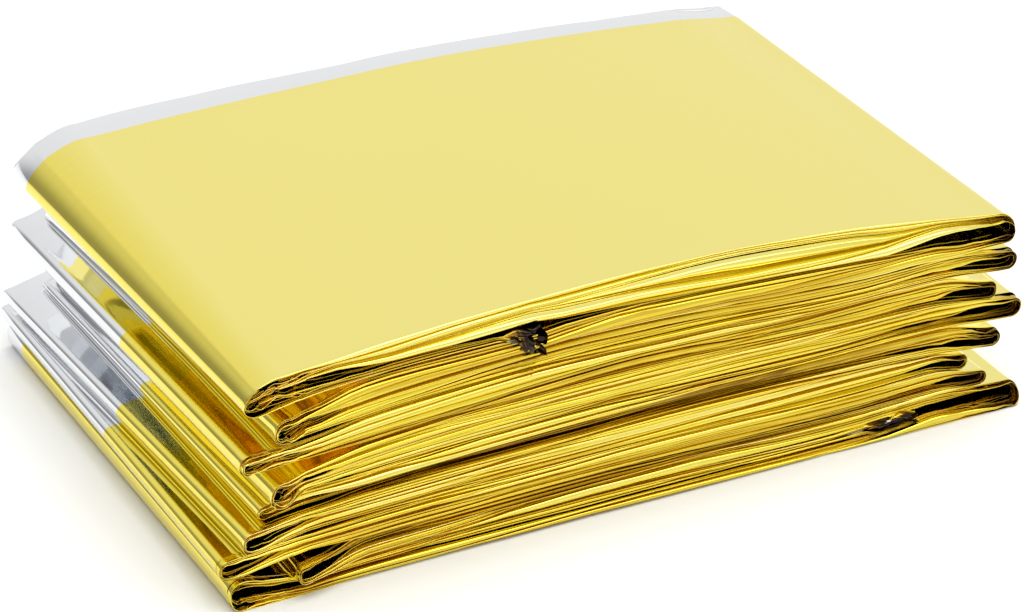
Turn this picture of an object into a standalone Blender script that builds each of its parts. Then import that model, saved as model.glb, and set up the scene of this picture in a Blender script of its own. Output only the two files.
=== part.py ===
"""Emergency foil blanket, folded to a packet: one film sheet as one solid strip.

The sheet is pleated across its width into a narrow strip, and the strip is folded back and forth
along its length. The solid is that strip: one ribbon whose panels lie over each other, a
little apart, joined left and right by the folds. X runs along the long edge of the packet,
Y from its front to its back and Z up. The bottom panel rests flat on Z = 0.
"""
import math

import bpy
import numpy as np

# Driving sizes, in millimetres.
MM = 0.001
PACKET_DEPTH = 82.3
STRIP_THICKNESS = 1.1
STRIP_SWELL = 0.4
LEFT_SWELL_LENGTH = 15.0
RIGHT_SWELL_LENGTH = 11.0
EDGE_WANDER = 0.35
MIDDLE_X = 60.85

# How finely the strip is divided.
NOSE_STEPS = 5
NECK_STEPS = 4
SPAN_STEPS = 3
DEPTH_STATIONS = 5

# Every fold, from the top of the packet down. tip is the fold's furthest point in X and height is
# where that point lies in Z. rise and drop are how far the fold reaches above and below it, measured
# to its outer faces. back is how far the tip moves along X at the rear end of the fold.
FOLD_COLUMNS = ("name", "tip", "height", "rise", "drop", "back")
FOLD_TABLE = (
    ("left_1", 1.2, 31.0, 3.45, 1.7, -0.2),
    ("right_1", 122.5, 28.2, 2.3, 1.5, -0.5),
    ("left_2", 6.0, 25.7, 2.2, 1.7, -0.8),
    ("right_2", 123.2, 23.8, 1.6, 1.5, 0.3),
    ("left_3", 0.9, 22.0, 1.5, 1.4, -0.6),
    ("right_3", 119.8, 19.8, 1.45, 1.3, 0.6),
    ("left_4", 4.9, 17.2, 1.45, 1.35, -1.2),
    ("right_4", 124.4, 16.0, 1.7, 1.6, -0.6),
    ("left_5", 3.6, 14.0, 1.3, 1.25, -0.4),
    ("right_5", 121.1, 11.6, 1.4, 1.3, 0.4),
    ("left_6", 0.7, 10.7, 1.65, 1.6, -0.8),
    ("right_6", 115.7, 9.1, 1.3, 1.25, 1.2),
    ("left_7", -2.7, 6.9, 1.8, 1.8, 0.9),
    ("right_7", 118.9, 5.7, 1.3, 1.25, -0.4),
    ("left_8", 8.2, 4.2, 1.3, 1.25, 0.5),
    ("right_8", 124.4, 1.75, 1.65, 1.75, -0.5),
    ("left_9", -1.1, 2.0, 2.2, 2.0, 0.2),
)

# Every panel, from the top of the packet down, with the height of its middle at the two necks, the
# places near the ends of the packet from which the panels part towards their folds. flap_top lies
# under panel_1 and flap_low on panel_16, and both are cut off short.
PANEL_COLUMNS = ("name", "left_neck", "right_neck")
PANEL_TABLE = (
    ("panel_1", 34.15, 31.5),
    ("flap_top", 30.9, 30.45),
    ("panel_2", 27.4, 29.4),
    ("panel_3", 24.9, 27.3),
    ("panel_4", 22.8, 25.2),
    ("panel_5", 21.1, 23.0),
    ("panel_6", 18.8, 21.0),
    ("panel_7", 16.9, 18.9),
    ("panel_8", 15.2, 16.9),
    ("panel_9", 13.6, 14.7),
    ("panel_10", 12.0, 12.8),
    ("panel_11", 10.1, 10.9),
    ("panel_12", 8.3, 9.2),
    ("panel_13", 6.75, 7.45),
    ("panel_14", 4.9, 5.75),
    ("panel_15", 3.45, 3.8),
    ("flap_low", 1.95, 2.0),
    ("panel_16", 0.55, 0.55),
)
LEFT_NECK = 11.0
RIGHT_NECK = 109.0
FLAP_ENDS = {"flap_top": 49.0, "flap_low": 107.0}

# Between the necks the panels are stacked evenly below the packet's crowned top. flap_top takes a
# share of the stack where it is there.
STACK_COLUMNS = ("place", "top", "flap_share")
STACK_TABLE = (
    (27.0, 35.1, 1.0),
    (50.0, 34.55, 1.0),
    (64.0, 34.3, 0.1),
    (98.0, 33.0, 0.1),
)


def rows_by_name(columns, table):
    """The table as one dictionary for each row, found by the row's name."""
    return {row[0]: dict(zip(columns, row)) for row in table}


FOLDS = rows_by_name(FOLD_COLUMNS, FOLD_TABLE)
PANELS = rows_by_name(PANEL_COLUMNS, PANEL_TABLE)
STATIONS = [LEFT_NECK] + [row[0] for row in STACK_TABLE] + [RIGHT_NECK]


def strip_order():
    """The strip from its upper cut end to its lower one: (panel, left fold, right fold)."""
    order = [("flap_top", "left_1", None)]
    for number in range(1, 17):
        left_fold = "left_" + str(number // 2 + 1)
        right_fold = "right_" + str((number + 1) // 2)
        order.append(("panel_" + str(number), left_fold, right_fold))
    order.append(("flap_low", "left_9", None))
    return order


def stacked_height(name, top, flap_share):
    """The height of a panel's middle where all panels are stacked evenly below top."""
    upwards = [row[0] for row in reversed(PANEL_TABLE)]
    shares = np.array([flap_share if panel == "flap_top" else 1.0 for panel in upwards])
    place = np.cumsum(shares) - shares / 2.0
    share_up = (place - place[0]) / (place[-1] - place[0])
    lowest = STRIP_THICKNESS / 2.0
    highest = top - STRIP_THICKNESS / 2.0
    return lowest + (highest - lowest) * share_up[upwards.index(name)]


def panel_heights(name):
    """The height of the panel's middle at every station."""
    stacked = [stacked_height(name, top, share) for place, top, share in STACK_TABLE]
    return np.array([PANELS[name]["left_neck"]] + stacked + [PANELS[name]["right_neck"]])


def station_slopes(heights):
    """The slope at each station: the mean of the slopes of the spans on both sides of it."""
    spans = np.diff(heights) / np.diff(STATIONS)
    return np.concatenate([spans[:1], (spans[:-1] + spans[1:]) / 2.0, spans[-1:]])


def eased(start, end, steps):
    """A cubic curve from start to end, both (x, z, slope), as steps + 1 points."""
    share = np.linspace(0.0, 1.0, steps + 1)
    length = end[0] - start[0]
    blend = share * share * (3.0 - 2.0 * share)
    leave = share * (1.0 - share) ** 2 * length
    arrive = share * share * (share - 1.0) * length
    x = start[0] + length * share
    z = start[1] + (end[1] - start[1]) * blend + start[2] * leave + end[2] * arrive
    return np.stack([x, z], axis=1)


def leaves_top(panel, fold):
    """Whether the panel leaves the fold at its top. The fold's other panel leaves at its bottom."""
    neck = "left_neck" if fold.startswith("left") else "right_neck"
    pair = [row[0] for row in strip_order() if fold in row]
    return PANELS[panel][neck] == max(PANELS[name][neck] for name in pair)


def half_nose(panel, fold, back_share):
    """A quarter turn of the fold's middle line, from its tip to the start of a panel.

    The quarter is an ellipse as tall as the fold's rise or drop, less half the strip. It is longer
    than tall only as far as its turn stays wider than half the strip.
    """
    row = FOLDS[fold]
    inward = 1.0 if fold.startswith("left") else -1.0
    upward = 1.0 if leaves_top(panel, fold) else -1.0
    half = STRIP_THICKNESS / 2.0
    tall = (row["rise"] if upward > 0.0 else row["drop"]) - half
    long = min(1.5 * tall, tall * tall / (1.15 * half))
    tip_x = row["tip"] + row["back"] * back_share + inward * half
    turn = np.linspace(0.0, math.pi / 2.0, NOSE_STEPS + 1)
    x = tip_x + inward * long * (1.0 - np.cos(turn))
    z = row["height"] + upward * tall * np.sin(turn)
    return np.stack([x, z], axis=1)


def panel_line(name, left_fold, right_fold, back_share):
    """The panel's middle line from left to right, as an array of (x, z), with its half noses."""
    heights = panel_heights(name)
    knots = list(zip(STATIONS, heights, station_slopes(heights)))
    nose = half_nose(name, left_fold, back_share)
    knots.insert(0, (nose[-1][0], nose[-1][1], 0.0))
    steps = [NECK_STEPS] + [SPAN_STEPS] * (len(STATIONS) - 1)
    parts = [nose[:-1]]
    if right_fold is not None:
        nose = half_nose(name, right_fold, back_share)[::-1]
        knots.append((nose[0][0], nose[0][1], 0.0))
        steps.append(NECK_STEPS)
    for start, end, count in zip(knots[:-1], knots[1:], steps):
        parts.append(eased(start, end, count)[:-1])
    if right_fold is not None:
        parts.append(nose)
        return np.concatenate(parts)
    line = np.concatenate(parts)
    end_x = FLAP_ENDS[name]
    end_z = np.interp(end_x, line[:, 0], line[:, 1])
    return np.concatenate([line[line[:, 0] < end_x - 1.0], [[end_x, end_z]]])


def middle_line(back_share):
    """The whole strip's middle line in X and Z, at a share of the depth from front to back."""
    parts = []
    for place, (name, left_fold, right_fold) in enumerate(strip_order()):
        line = panel_line(name, left_fold, right_fold, back_share)
        runs_right = place % 2 == 1
        parts.append(line[:-1] if runs_right else line[::-1][:-1])
    return np.concatenate(parts + [line[-1:]])


def strip_thickness(x):
    """The strip's thickness at each x: it is thinnest in the folds and swells between the necks."""
    from_left = np.clip((x - LEFT_NECK) / LEFT_SWELL_LENGTH, 0.0, 1.0)
    from_right = np.clip((RIGHT_NECK - x) / RIGHT_SWELL_LENGTH, 0.0, 1.0)
    share = from_left * from_left * (3.0 - 2.0 * from_left)
    share = share * from_right * from_right * (3.0 - 2.0 * from_right)
    return STRIP_THICKNESS + STRIP_SWELL * share


def offset_line(line, distance):
    """The line moved sideways by each distance, along the mean of the normals beside each point."""
    step = np.diff(line, axis=0)
    step = step / np.linalg.norm(step, axis=1)[:, None]
    normal = np.stack([-step[:, 1], step[:, 0]], axis=1)
    joined = np.concatenate([normal[:1], normal[:-1] + normal[1:], normal[-1:]])
    joined = joined / np.linalg.norm(joined, axis=1)[:, None]
    beside = np.concatenate([normal[:1], normal[:-1], normal[-1:]])
    reach = 1.0 / np.sum(joined * beside, axis=1)
    return line + joined * (distance * reach)[:, None]


def edge_insets(count):
    """How far the front and the rear edge of the strip stand in from the packet's depth."""
    place = np.arange(count)
    front = EDGE_WANDER * (1.0 + np.sin(place * 0.173 + 0.6 * np.sin(place * 0.031)))
    rear = EDGE_WANDER * (1.0 + np.sin(place * 0.119 + 2.0))
    return front, rear


def strip_points():
    """The strip's corner points, as an array of [depth station][face][place along the strip]."""
    stations = []
    for share in np.linspace(0.0, 1.0, DEPTH_STATIONS):
        line = middle_line(share)
        front, rear = edge_insets(len(line))
        y = front + (PACKET_DEPTH - front - rear) * share - PACKET_DEPTH / 2.0
        faces = []
        for side in (-0.5, 0.5):
            face = offset_line(line, side * strip_thickness(line[:, 0]))
            faces.append(np.stack([face[:, 0] - MIDDLE_X, y, np.maximum(face[:, 1], 0.0)], axis=1))
        stations.append(faces)
    return np.array(stations) * MM


def strip_faces(stations, places):
    """Quads that close the strip: both faces, the front and rear edges and the two cut ends."""
    index = np.arange(stations * 2 * places).reshape(stations, 2, places)
    low, high = index[:, 0], index[:, 1]
    corners = (
        (low[:-1, :-1], low[1:, :-1], low[1:, 1:], low[:-1, 1:]),
        (high[:-1, :-1], high[:-1, 1:], high[1:, 1:], high[1:, :-1]),
        (low[0, :-1], low[0, 1:], high[0, 1:], high[0, :-1]),
        (low[-1, :-1], high[-1, :-1], high[-1, 1:], low[-1, 1:]),
        (low[:-1, 0], high[:-1, 0], high[1:, 0], low[1:, 0]),
        (low[:-1, -1], low[1:, -1], high[1:, -1], high[:-1, -1]),
    )
    quads = [np.stack([corner.ravel() for corner in quad], axis=1) for quad in corners]
    return np.concatenate(quads).tolist()


def gold_film():
    """The film's coloured side: a thin bright metal coat under a gold lacquer."""
    material = bpy.data.materials.new("gold_film")
    material.use_nodes = True
    shader = material.node_tree.nodes["Principled BSDF"]
    shader.inputs["Base Color"].default_value = (0.84, 0.72, 0.21, 1.0)
    shader.inputs["Roughness"].default_value = 0.22
    shader.inputs["Metallic"].default_value = 1.0
    return material


def foil_blanket():
    """The folded sheet as one closed mesh."""
    points = strip_points()
    faces = strip_faces(points.shape[0], points.shape[2])
    mesh = bpy.data.meshes.new("foil_blanket")
    mesh.from_pydata(points.reshape(-1, 3).tolist(), [], faces)
    mesh.materials.append(gold_film())
    blanket = bpy.data.objects.new("foil_blanket", mesh)
    bpy.context.scene.collection.objects.link(blanket)
    return blanket


def main():
    """Clears the scene and builds the folded blanket."""
    for thing in list(bpy.data.objects):
        bpy.data.objects.remove(thing, do_unlink=True)
    foil_blanket()


main()
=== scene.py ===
"""Emergency foil blanket, folded to a packet: the film itself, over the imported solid's folds.

The blanket is one sheet of metallised film, 2.10 m by 1.60 m. It is pleated across its width into a
strip of twenty layers, and the strip is folded back and forth along its length. X runs along the
packet's long front edge, Y from front to back and Z up, with the origin under the packet's middle.
"""

import logging
import math
from dataclasses import astuple, dataclass
from enum import Enum

import bpy
import numpy as np
from mathutils import Matrix, Vector

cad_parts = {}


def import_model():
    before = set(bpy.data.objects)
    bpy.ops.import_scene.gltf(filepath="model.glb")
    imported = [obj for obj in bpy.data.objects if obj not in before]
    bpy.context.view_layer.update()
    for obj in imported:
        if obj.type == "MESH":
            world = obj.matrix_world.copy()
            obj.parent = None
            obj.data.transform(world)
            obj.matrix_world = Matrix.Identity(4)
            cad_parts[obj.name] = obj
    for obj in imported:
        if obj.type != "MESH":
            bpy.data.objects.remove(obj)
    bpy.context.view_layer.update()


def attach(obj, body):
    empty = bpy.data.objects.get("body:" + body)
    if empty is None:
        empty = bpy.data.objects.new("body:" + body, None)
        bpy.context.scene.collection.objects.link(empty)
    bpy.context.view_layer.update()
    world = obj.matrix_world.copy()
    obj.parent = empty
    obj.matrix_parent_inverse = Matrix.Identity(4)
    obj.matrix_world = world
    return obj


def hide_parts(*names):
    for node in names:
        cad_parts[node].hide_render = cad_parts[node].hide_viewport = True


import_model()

log = logging.getLogger("foil_blanket")

MM = 0.001
MIDDLE_X = 60.85
DEPTH = 82.3
SEED = 2417


def to_linear(code: str) -> tuple[float, float, float, float]:
    """An sRGB hex colour as linear red, green, blue and full alpha.

    Args:
        code: the sRGB colour, as a hash and six hex digits.

    Returns:
        Its linear red, green and blue, and full alpha.
    """
    shares = [int(code[place:place + 2], 16) / 255.0 for place in (1, 3, 5)]
    linear = [share / 12.92 if share <= 0.04045 else ((share + 0.055) / 1.055) ** 2.4 for share in shares]
    return (linear[0], linear[1], linear[2], 1.0)


def smooth(share: np.ndarray) -> np.ndarray:
    """The share held between 0 and 1, and eased at both ends."""
    held = np.clip(share, 0.0, 1.0)
    return held * held * (3.0 - 2.0 * held)


def beyond(x: np.ndarray, fade: tuple) -> np.ndarray:
    """0 up to the fade's beginning, easing to 1 over its length."""
    begin, length = fade
    return smooth((x - begin) / length)


def before(x: np.ndarray, fade: tuple) -> np.ndarray:
    """0 from the fade's beginning on, easing to 1 over its length towards lower X."""
    begin, length = fade
    return smooth((begin - x) / length)


def drift(rng: np.random.Generator, place: np.ndarray, wavelength: float, count: int,
          creased: bool = False) -> np.ndarray:
    """Random curves along a line.

    Random knots stand one wavelength apart, and each curve eases from knot to knot.

    Args:
        rng: the source of the random knots.
        place: the positions along the line.
        wavelength: the distance between knots, in the same unit.
        count: how many curves to make.
        creased: whether the curves run straight from knot to knot instead.

    Returns:
        An array of [curve][place] with values between -1 and 1.
    """
    cell = (place - place.min()) / wavelength
    low = np.floor(cell).astype(int)
    knots = rng.uniform(-1.0, 1.0, (count, low.max() + 2))
    blend = cell - low if creased else smooth(cell - low)
    return knots[:, low] * (1.0 - blend) + knots[:, low + 1] * blend


def facets(rng: np.random.Generator, place: np.ndarray, wave: tuple, count: int) -> np.ndarray:
    """Creased random curves of one size and wavelength."""
    size, wavelength = wave
    return size * drift(rng, place, wavelength, count, creased=True)


def waves(rng: np.random.Generator, place: np.ndarray, sizes: tuple, count: int) -> np.ndarray:
    """The sum of smooth random curves, each given by its size and its wavelength."""
    return sum(size * drift(rng, place, wavelength, count) for size, wavelength in sizes)


def wander(rng: np.random.Generator, place: np.ndarray, wave: tuple, count: int) -> np.ndarray:
    """Smooth random curves that stay between 0 and twice their size."""
    size, wavelength = wave
    return size * (1.0 + drift(rng, place, wavelength, count))


class Skin(Enum):
    """The two sides of the film, by their place in a piece's list of materials."""

    GOLD = 0
    SILVER = 1


class Side(Enum):
    """The two ends of the packet where the strip folds back, by the direction inwards."""

    LEFT = 1.0
    RIGHT = -1.0


@dataclass(frozen=True)
class Nose:
    """The end of a fold at one edge of the packet: its outer reach along X and its height.

    rise and drop are how far it stands above and below its height, all in millimetres.
    """

    tip: float
    height: float
    rise: float
    drop: float

    def towards(self, other: "Nose", share: float) -> "Nose":
        """The nose at a share of the way to another one."""
        return Nose(*(own + (far - own) * share for own, far in zip(astuple(self), astuple(other))))


@dataclass(frozen=True)
class Fold:
    """One fold of the strip, with its nose at the packet's front edge and the one at its rear.

    stretch is how much longer than tall each quarter of the fold is. squareness is the power of its
    outline: 2 for an ellipse, more for a boxier fold and less for one that slants. taper is the
    length of the open wedge inside the fold, and the insets are how far its front and its rear edge
    stand in, all in millimetres. upper_share is the upper leg's share of the room inside the fold,
    and looseness is how much of that room the loose layers fill.
    """

    name: str
    front: Nose
    rear: Nose
    stretch: float
    squareness: float
    taper: float
    front_inset: float = 0.0
    rear_inset: float = 0.0
    upper_share: float = 0.5
    looseness: float = 0.92

    @property
    def side(self) -> Side:
        """The end of the packet that the fold is on."""
        return Side.LEFT if self.name.startswith("left") else Side.RIGHT


@dataclass(frozen=True)
class Panel:
    """One panel of the strip: its height at both necks, its shares of the stack and its front edge.

    inset is how far the panel's front edge stands back from the packet's front. Millimetres but for
    the shares, which count the panel's thickness in the stack near the left and the right, and for
    shade, which is how much darker than the others' its colour is drawn at the front: painted shade
    where it is positive, as on the panels set back in the recesses, and painted highlight where it is
    negative. spread is how much further forward the front edge stands at the packet's right end.
    """

    name: str
    left_neck: float
    right_neck: float
    left_share: float
    right_share: float
    inset: float
    shade: float = 0.0
    spread: float = 0.0


FOLDS = (
    Fold("left_1", Nose(1.8, 31.0, 3.45, 1.7), Nose(0.4, 28.8, 6.4, 1.0), 1.5, 1.6, 21.0),
    Fold("right_1", Nose(123.0, 28.4, 2.5, 1.6), Nose(121.4, 28.2, 2.3, 1.5), 1.2, 2.6, 12.0,
         upper_share=0.42, looseness=0.55),
    Fold("left_2", Nose(6.4, 25.3, 2.0, 1.7), Nose(3.6, 22.7, 1.5, 1.4), 1.2, 2.6, 9.0,
         rear_inset=4.5),
    Fold("right_2", Nose(123.2, 23.8, 1.6, 1.5), Nose(123.5, 23.8, 1.6, 1.5), 0.9, 2.0, 9.0,
         upper_share=0.73, looseness=0.58),
    Fold("left_3", Nose(1.2, 21.6, 1.5, 1.4), Nose(-0.3, 19.6, 1.7, 1.6), 1.3, 2.6, 11.0),
    Fold("right_3", Nose(120.1, 19.4, 1.4, 1.3), Nose(120.6, 19.5, 1.4, 1.3), 0.8, 2.2, 9.0,
         upper_share=0.84, looseness=0.5),
    Fold("left_4", Nose(5.3, 15.9, 2.1, 1.8), Nose(3.0, 14.6, 1.4, 1.2), 1.2, 2.6, 8.0),
    Fold("right_4", Nose(124.4, 15.9, 1.7, 1.6), Nose(123.8, 16.0, 1.7, 1.6), 0.9, 2.0, 10.0,
         upper_share=0.84, looseness=0.6),
    Fold("left_5", Nose(3.9, 13.2, 1.15, 1.15), Nose(2.6, 11.5, 0.8, 0.8), 1.2, 2.6, 6.0,
         front_inset=1.0, rear_inset=4.5),
    Fold("right_5", Nose(121.3, 11.3, 1.4, 1.45), Nose(121.6, 11.4, 1.4, 1.4), 0.9, 2.0, 9.0,
         upper_share=0.72, looseness=0.68),
    Fold("left_6", Nose(1.0, 9.7, 1.7, 1.75), Nose(-2.1, 8.9, 1.3, 1.1), 1.0, 2.6, 10.0,
         looseness=0.45),
    Fold("right_6", Nose(115.9, 8.5, 1.3, 1.2), Nose(117.0, 8.6, 1.3, 1.2), 0.9, 2.0, 8.0,
         upper_share=0.8, looseness=0.5),
    Fold("left_7", Nose(-2.6, 6.5, 1.45, 1.6), Nose(-2.5, 6.2, 1.2, 1.1), 1.0, 2.6, 9.0,
         looseness=0.5),
    Fold("right_7", Nose(119.1, 5.3, 1.05, 1.1), Nose(118.6, 5.4, 1.1, 1.1), 1.0, 2.0, 7.0,
         upper_share=0.76, looseness=0.6),
    Fold("left_8", Nose(8.2, 3.8, 1.3, 1.2), Nose(8.7, 4.0, 1.3, 1.25), 0.9, 2.6, 7.0,
         front_inset=-2.3, looseness=0.5),
    Fold("right_8", Nose(124.4, 1.75, 1.65, 1.75), Nose(123.9, 1.75, 1.65, 1.75), 0.8, 2.0, 12.0,
         looseness=0.8),
    Fold("left_9", Nose(-1.3, 2.0, 2.2, 2.0), Nose(-1.7, 2.0, 2.2, 2.0), 1.0, 2.6, 14.0,
         looseness=0.72),
)

# The seventh column, shade, is painted shade on the panels set back in recesses and painted highlight where
# negative.
PANELS = (
    Panel("panel_1", 34.15, 31.5, 1.10, 1.85, 0.1, -0.28),
    Panel("flap_top", 30.9, 30.45, 0.55, 0.1, 0.6, 0.1),
    Panel("panel_2", 27.4, 27.25, 1.25, 1.45, 0.3, 0.08),
    Panel("panel_3", 24.9, 26.05, 1.20, 0.98, 0.5, 0.0),
    Panel("panel_4", 22.8, 23.8, 1.15, 0.65, 0.2, -0.08),
    Panel("panel_5", 21.1, 22.35, 1.15, 1.6, 0.6, 0.06),
    Panel("panel_6", 18.5, 19.45, 1.10, 0.5, 0.2, -0.1),
    Panel("panel_7", 16.5, 18.3, 1.10, 1.25, 0.3, -0.06),
    Panel("panel_8", 14.8, 15.85, 1.05, 0.45, 0.1, 0.04),
    Panel("panel_9", 13.3, 14.4, 0.90, 1.3, 1.7, 0.5, 1.6),
    Panel("panel_10", 11.8, 11.6, 0.90, 0.65, 0.1, -0.15),
    Panel("panel_11", 9.9, 10.2, 0.90, 1.38, 0.3, -0.12),
    Panel("panel_12", 8.3, 8.8, 0.85, 0.4, 0.1, -0.05),
    Panel("panel_13", 6.75, 7.35, 0.85, 1.3, 0.3, 0.02),
    Panel("panel_14", 4.75, 5.1, 0.80, 0.5, 1.6, 0.45, 1.5),
    Panel("panel_15", 3.35, 3.95, 0.80, 0.95, 0.2, 0.0),
    Panel("flap_low", 1.95, 2.0, 0.70, 0.7, 0.1, 0.05, 0.6),
    Panel("panel_16", 0.55, 0.55, 0.80, 0.45, -0.7, 0.06, 1.1),
)


@dataclass(frozen=True)
class Crown:
    """The height of the packet's top at one place along it, and how much higher it is at the rear.

    flap_share is how much of its share of the stack flap_top takes there, rightness how far the
    panels' shares have changed from the left ones to the right ones, and packed how far the panels
    have drawn together from their heights at the left neck to a tight stack.
    """

    place: float
    top: float
    rear_rise: float
    flap_share: float
    rightness: float
    packed: float


CROWNS = (
    Crown(24.0, 35.1, 0.5, 1.0, 0.05, 0.45),
    Crown(50.0, 34.5, 0.95, 1.0, 0.2, 1.0),
    Crown(66.0, 34.25, 0.8, 0.8, 0.4, 1.0),
    Crown(98.0, 33.0, 0.1, 0.4, 1.0, 1.0),
)
OUTER_PANELS = ("panel_1", "panel_16")
FLAP_FOLDS = ("left_1", "left_9")


@dataclass
class StripPath:
    """The line of the pleated strip as it runs back and forth through the packet.

    Each panel runs level between the necks and turns into its folds along quarter superellipses.
    Lengths are in millimetres. fill is how much of the room between the panels the strip takes. The
    lower quarter of a fold is no longer than lower_stretch and no more slanted than
    lower_squareness. A fade is the place in X where it begins and its length. wedge opens the
    strip's upper cut end, and step is how far panel_2 rises past it.
    """

    left_neck: float = 11.0
    right_neck: float = 109.0
    neck_thickness: float = 1.1
    nose_thickness: float = 0.55
    fill: float = 0.97
    flap_fill: float = 0.8
    thickest_pair: float = 3.4
    left_turn_steps: int = 15
    right_turn_steps: int = 8
    left_neck_steps: int = 12
    right_neck_steps: int = 9
    first_step: float = 2.2
    span_step: float = 4.8
    lower_stretch: float = 1.2
    lower_squareness: float = 2.0
    straightness: float = 0.7
    left_fade: tuple = (9.0, 12.0)
    right_fade: tuple = (112.0, 11.0)
    bend: float = 1.2
    neck_rise: float = 0.4
    flap_top_end: float = 46.2
    wedge: float = 1.1
    wedge_length: float = 14.0
    step: float = 0.8
    step_length: float = 20.0
    flap_low_end: float = 107.0
    flap_tail: float = 8.0
    tail_step: float = 0.8
    tail_points: int = 13
    least_reach: float = 0.05
    most_reach: float = 2.6

    def __post_init__(self) -> None:
        """Finds the table rows by name, lays the line out and finds the strip's faces."""
        self.folds = {fold.name: fold for fold in FOLDS}
        self.panels = {panel.name: panel for panel in PANELS}
        self.flap_ends = {"flap_top": self.flap_top_end, "flap_low": self.flap_low_end}
        self.stations = [self.left_neck] + [crown.place for crown in CROWNS] + [self.right_neck]
        self.rightness = [0.0] + [crown.rightness for crown in CROWNS] + [1.0]
        self.front = self.lay(0.0)
        self.back = self.lay(1.0)
        self.front_normal = self.left_of(self.front)
        self.back_normal = self.left_of(self.back)
        steps = np.linalg.norm(np.diff(self.front, axis=0), axis=1)
        self.run = np.concatenate([[0.0], np.cumsum(steps)])
        self.panel_at = self.panel_numbers()
        self.near = self.nearness()
        self.lines = {row[0]: self.panel_line(row, 0.0) for row in self.order()}
        self.opening, self.outer, self.above, self.insets, self.leg_share, self.looseness = self.openings()
        self.growth = self.growing()
        up, down = self.reach(True), self.reach(False)
        self.thickness = up + down
        self.offset = (up - down) / 2.0 * np.where(self.panel_at % 2 == 1, 1.0, -1.0)

    def order(self) -> list[tuple[str, str, str | None]]:
        """The strip from its upper cut end to its lower one: (panel, left fold, right fold).

        Returns:
            A row for each panel. A cut end has no right fold.
        """
        panels = [("flap_top", "left_1", None)]
        for number in range(1, len(PANELS) - 1):
            panels.append((f"panel_{number}", f"left_{number // 2 + 1}", f"right_{(number + 1) // 2}"))
        return panels + [("flap_low", "left_9", None)]

    def stacked(self, name: str, crown: Crown, top: float) -> float:
        """The height of a panel's middle where all panels are stacked tightly below the top.

        Args:
            name: the panel.
            crown: the place along the packet.
            top: the height of the packet's top there.

        Returns:
            The height in millimetres.
        """
        upwards = PANELS[::-1]
        names = [panel.name for panel in upwards]
        shares = np.array([p.left_share + (p.right_share - p.left_share) * crown.rightness for p in upwards])
        shares[names.index("flap_top")] *= crown.flap_share
        middles = (np.cumsum(shares) - shares / 2.0) / shares.sum()
        return float(top * middles[names.index(name)])

    def upward(self, name: str, fold: Fold) -> float:
        """1 where the panel leaves the fold at its top, -1 where at its bottom.

        Args:
            name: the panel.
            fold: one of its two folds.

        Returns:
            1 or -1, by which of the fold's two panels is the higher one.
        """
        neck = "left_neck" if fold.side is Side.LEFT else "right_neck"
        pair = [row[0] for row in self.order() if fold.name in row]
        upper = max(getattr(self.panels[other], neck) for other in pair)
        return 1.0 if getattr(self.panels[name], neck) == upper else -1.0

    def heights(self, row: tuple, back_share: float) -> np.ndarray:
        """The height of the panel's line at every station, at a share of the depth.

        Near a fold the line lies half the fold's thickness inside the panel's outer face.

        Args:
            row: a row of the strip's order.
            back_share: the share of the depth, from 0 at the front to 1 at the rear.

        Returns:
            One height for each station, in millimetres.
        """
        name, left_fold, right_fold = row
        panel = self.panels[name]
        shift = (self.neck_thickness - self.nose_thickness) / 2.0
        left = panel.left_neck + shift * self.upward(name, self.folds[left_fold])
        left += self.neck_rise * back_share * panel.left_neck / PANELS[0].left_neck
        right = panel.right_neck
        if right_fold is not None:
            right += shift * self.upward(name, self.folds[right_fold])
        stacked = []
        for crown in CROWNS:
            top = crown.top + crown.rear_rise * back_share
            height = self.stacked(name, crown, top)
            if name == "panel_1":
                height = top - self.nose_thickness / 2.0
            elif name == "panel_16":
                height = left
            else:
                height = left + (height - left) * crown.packed
            stacked.append(height)
        return np.array([left] + stacked + [right])

    def slopes(self, heights: np.ndarray) -> np.ndarray:
        """The slope at each station: the mean of the slopes of the spans on both sides of it."""
        spans = np.diff(heights) / np.diff(self.stations)
        return np.concatenate([spans[:1], (spans[:-1] + spans[1:]) / 2.0, spans[-1:]])

    def eased(self, start: tuple, end: tuple, steps: int) -> np.ndarray:
        """A cubic curve from start to end, both (x, z, slope), as steps + 1 points.

        Args:
            start: where the curve begins.
            end: where it ends.
            steps: how many steps it is made of.

        Returns:
            An array of [point][x, z].
        """
        share = np.linspace(0.0, 1.0, steps + 1)
        length = end[0] - start[0]
        leave = share * (1.0 - share) ** 2 * length
        arrive = share * share * (share - 1.0) * length
        z = start[1] + (end[1] - start[1]) * smooth(share) + start[2] * leave + end[2] * arrive
        return np.stack([start[0] + length * share, z], axis=1)

    def turn(self, name: str, fold: Fold, back_share: float) -> np.ndarray:
        """A quarter turn of the line, from the fold's tip to where the panel leaves it.

        It is a quarter of a superellipse: the cosine and sine of an even angle, both raised to two
        over the fold's squareness.

        Args:
            name: the panel.
            fold: the fold it turns into.
            back_share: the share of the depth, from 0 at the front to 1 at the rear.

        Returns:
            An array of [point][x, z], from the tip inwards.
        """
        nose = fold.front.towards(fold.rear, back_share)
        upward = self.upward(name, fold)
        half = self.nose_thickness / 2.0
        tall = (nose.rise if upward > 0.0 else nose.drop) - half
        stretch = fold.stretch if upward > 0.0 else min(fold.stretch, self.lower_stretch)
        power = 2.0 / (fold.squareness if upward > 0.0 else max(fold.squareness, self.lower_squareness))
        steps = self.left_turn_steps if fold.side is Side.LEFT else self.right_turn_steps
        angle = np.linspace(0.0, math.pi / 2.0, steps + 1)
        inwards = half + stretch * tall * (1.0 - np.maximum(np.cos(angle), 0.0) ** power)
        z = nose.height + upward * tall * np.sin(angle) ** power
        return np.stack([nose.tip + fold.side.value * inwards, z], axis=1)

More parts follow.
